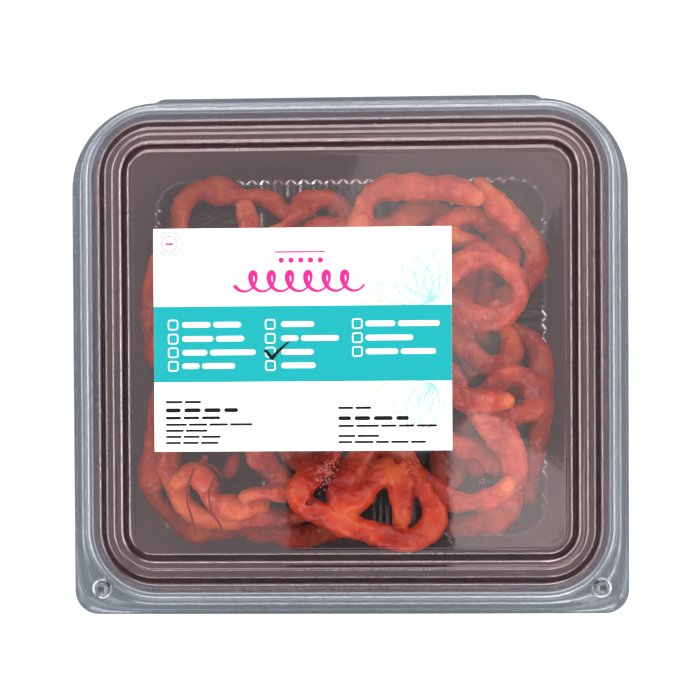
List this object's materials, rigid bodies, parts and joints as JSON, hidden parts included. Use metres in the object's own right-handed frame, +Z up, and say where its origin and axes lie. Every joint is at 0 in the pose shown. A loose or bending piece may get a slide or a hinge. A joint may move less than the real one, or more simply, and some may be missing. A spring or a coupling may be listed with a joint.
{
  "type": "jalebi in a hinged clear box",
  "caption": "Shut, clear, hinged plastic sweet box with a stepped lid and a printed label, holding a loose heap of syrup-soaked orange jalebi spirals.",
  "frame": {"origin": "centre of the bounding box on the surface that the tray stands on", "axes": "+Z up, +Y to the hinge, +X to the right of someone facing the snap-button side"},
  "size_m": [0.186, 0.1732, 0.0501],
  "materials": {
    "tray_plastic": "clear, glossy formed PET sheet, lightly smoky",
    "lid_plastic": "clear, glossy formed PET sheet",
    "label_paper": "smooth white printed label paper",
    "jalebi": "fried batter soaked in syrup, glossy and slightly translucent"
  },
  "bodies": {
    "tray": {"tray": "tray_plastic", "jalebi_01": "jalebi", "jalebi_02": "jalebi", "jalebi_03": "jalebi", "jalebi_04": "jalebi", "jalebi_05": "jalebi", "jalebi_06": "jalebi", "jalebi_07": "jalebi", "jalebi_08": "jalebi", "jalebi_09": "jalebi", "jalebi_10": "jalebi", "jalebi_11": "jalebi", "jalebi_12": "jalebi", "jalebi_13": "jalebi", "jalebi_14": "jalebi", "jalebi_15": "jalebi", "jalebi_16": "jalebi", "jalebi_17": "jalebi", "jalebi_18": "jalebi", "jalebi_19": "jalebi", "jalebi_20": "jalebi", "jalebi_21": "jalebi", "jalebi_22": "jalebi"},
    "lid": {"lid": "lid_plastic", "label": "label_paper"}
  },
  "joints": [
    {"name": "lid_hinge", "type": "hinge", "parent": "tray", "child": "lid", "pos_m": [0, 0.08675, 0.03787], "axis": [-1, 0, 0], "range_deg": [0, 180]}
  ]
}
